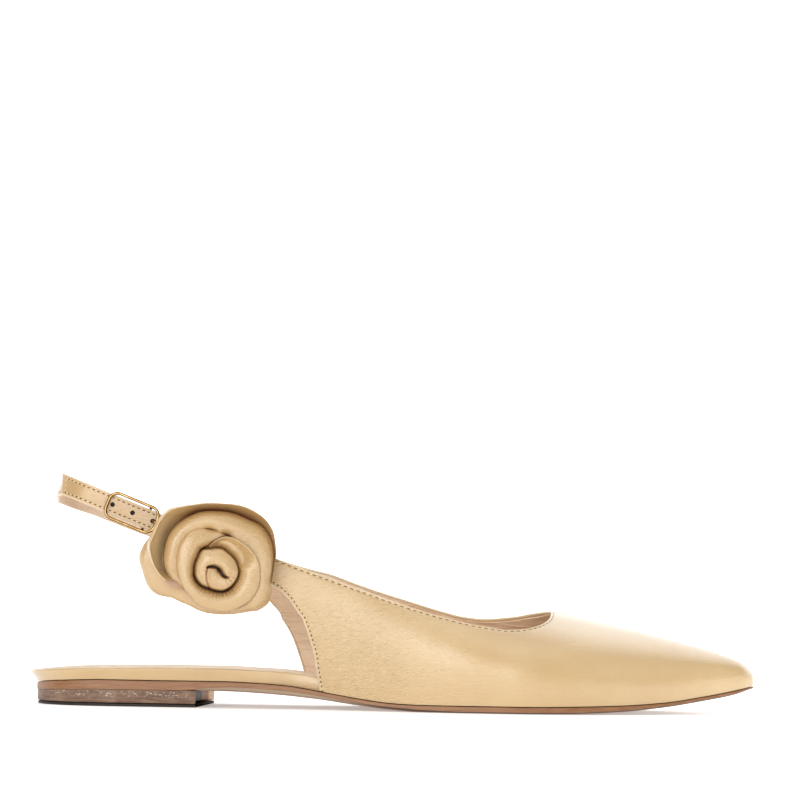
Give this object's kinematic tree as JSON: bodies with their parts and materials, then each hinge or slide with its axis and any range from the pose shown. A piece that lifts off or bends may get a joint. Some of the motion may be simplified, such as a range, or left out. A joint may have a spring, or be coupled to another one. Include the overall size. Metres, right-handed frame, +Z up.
{
  "type": "sling back flat",
  "caption": "Pointed leather flat shoe for the right foot, open at the back, with a buckled sling strap, a low stacked heel and a rolled leather rosette on its outer side.",
  "frame": {"origin": "middle of the heel's resting face, on the floor", "axes": "+X along the shoe to the toe, +Y to the inner side of the foot, +Z up"},
  "size_m": [0.2671, 0.0876, 0.0844],
  "materials": {
    "leather": "smooth sand coloured leather with a soft sheen",
    "lining": "matte lining leather",
    "sole": "brown dyed sole leather edge",
    "stack": "worn stacked leather",
    "top_lift": "matte black",
    "gold": "polished light gold"
  },
  "bodies": {
    "root": {"upper": "leather", "insole": "lining", "outsole": "sole", "heel_block": "stack", "top_lift": "top_lift", "sling_strap": "leather", "strap_end": "leather", "buckle_tab": "leather", "buckle_frame": "gold", "buckle_prong": "gold", "rosette_sheet": "leather", "rosette_cup": "leather", "rosette_middle_roll": "leather", "rosette_inner_roll": "leather", "rosette_bud": "leather"}
  },
  "joints": []
}
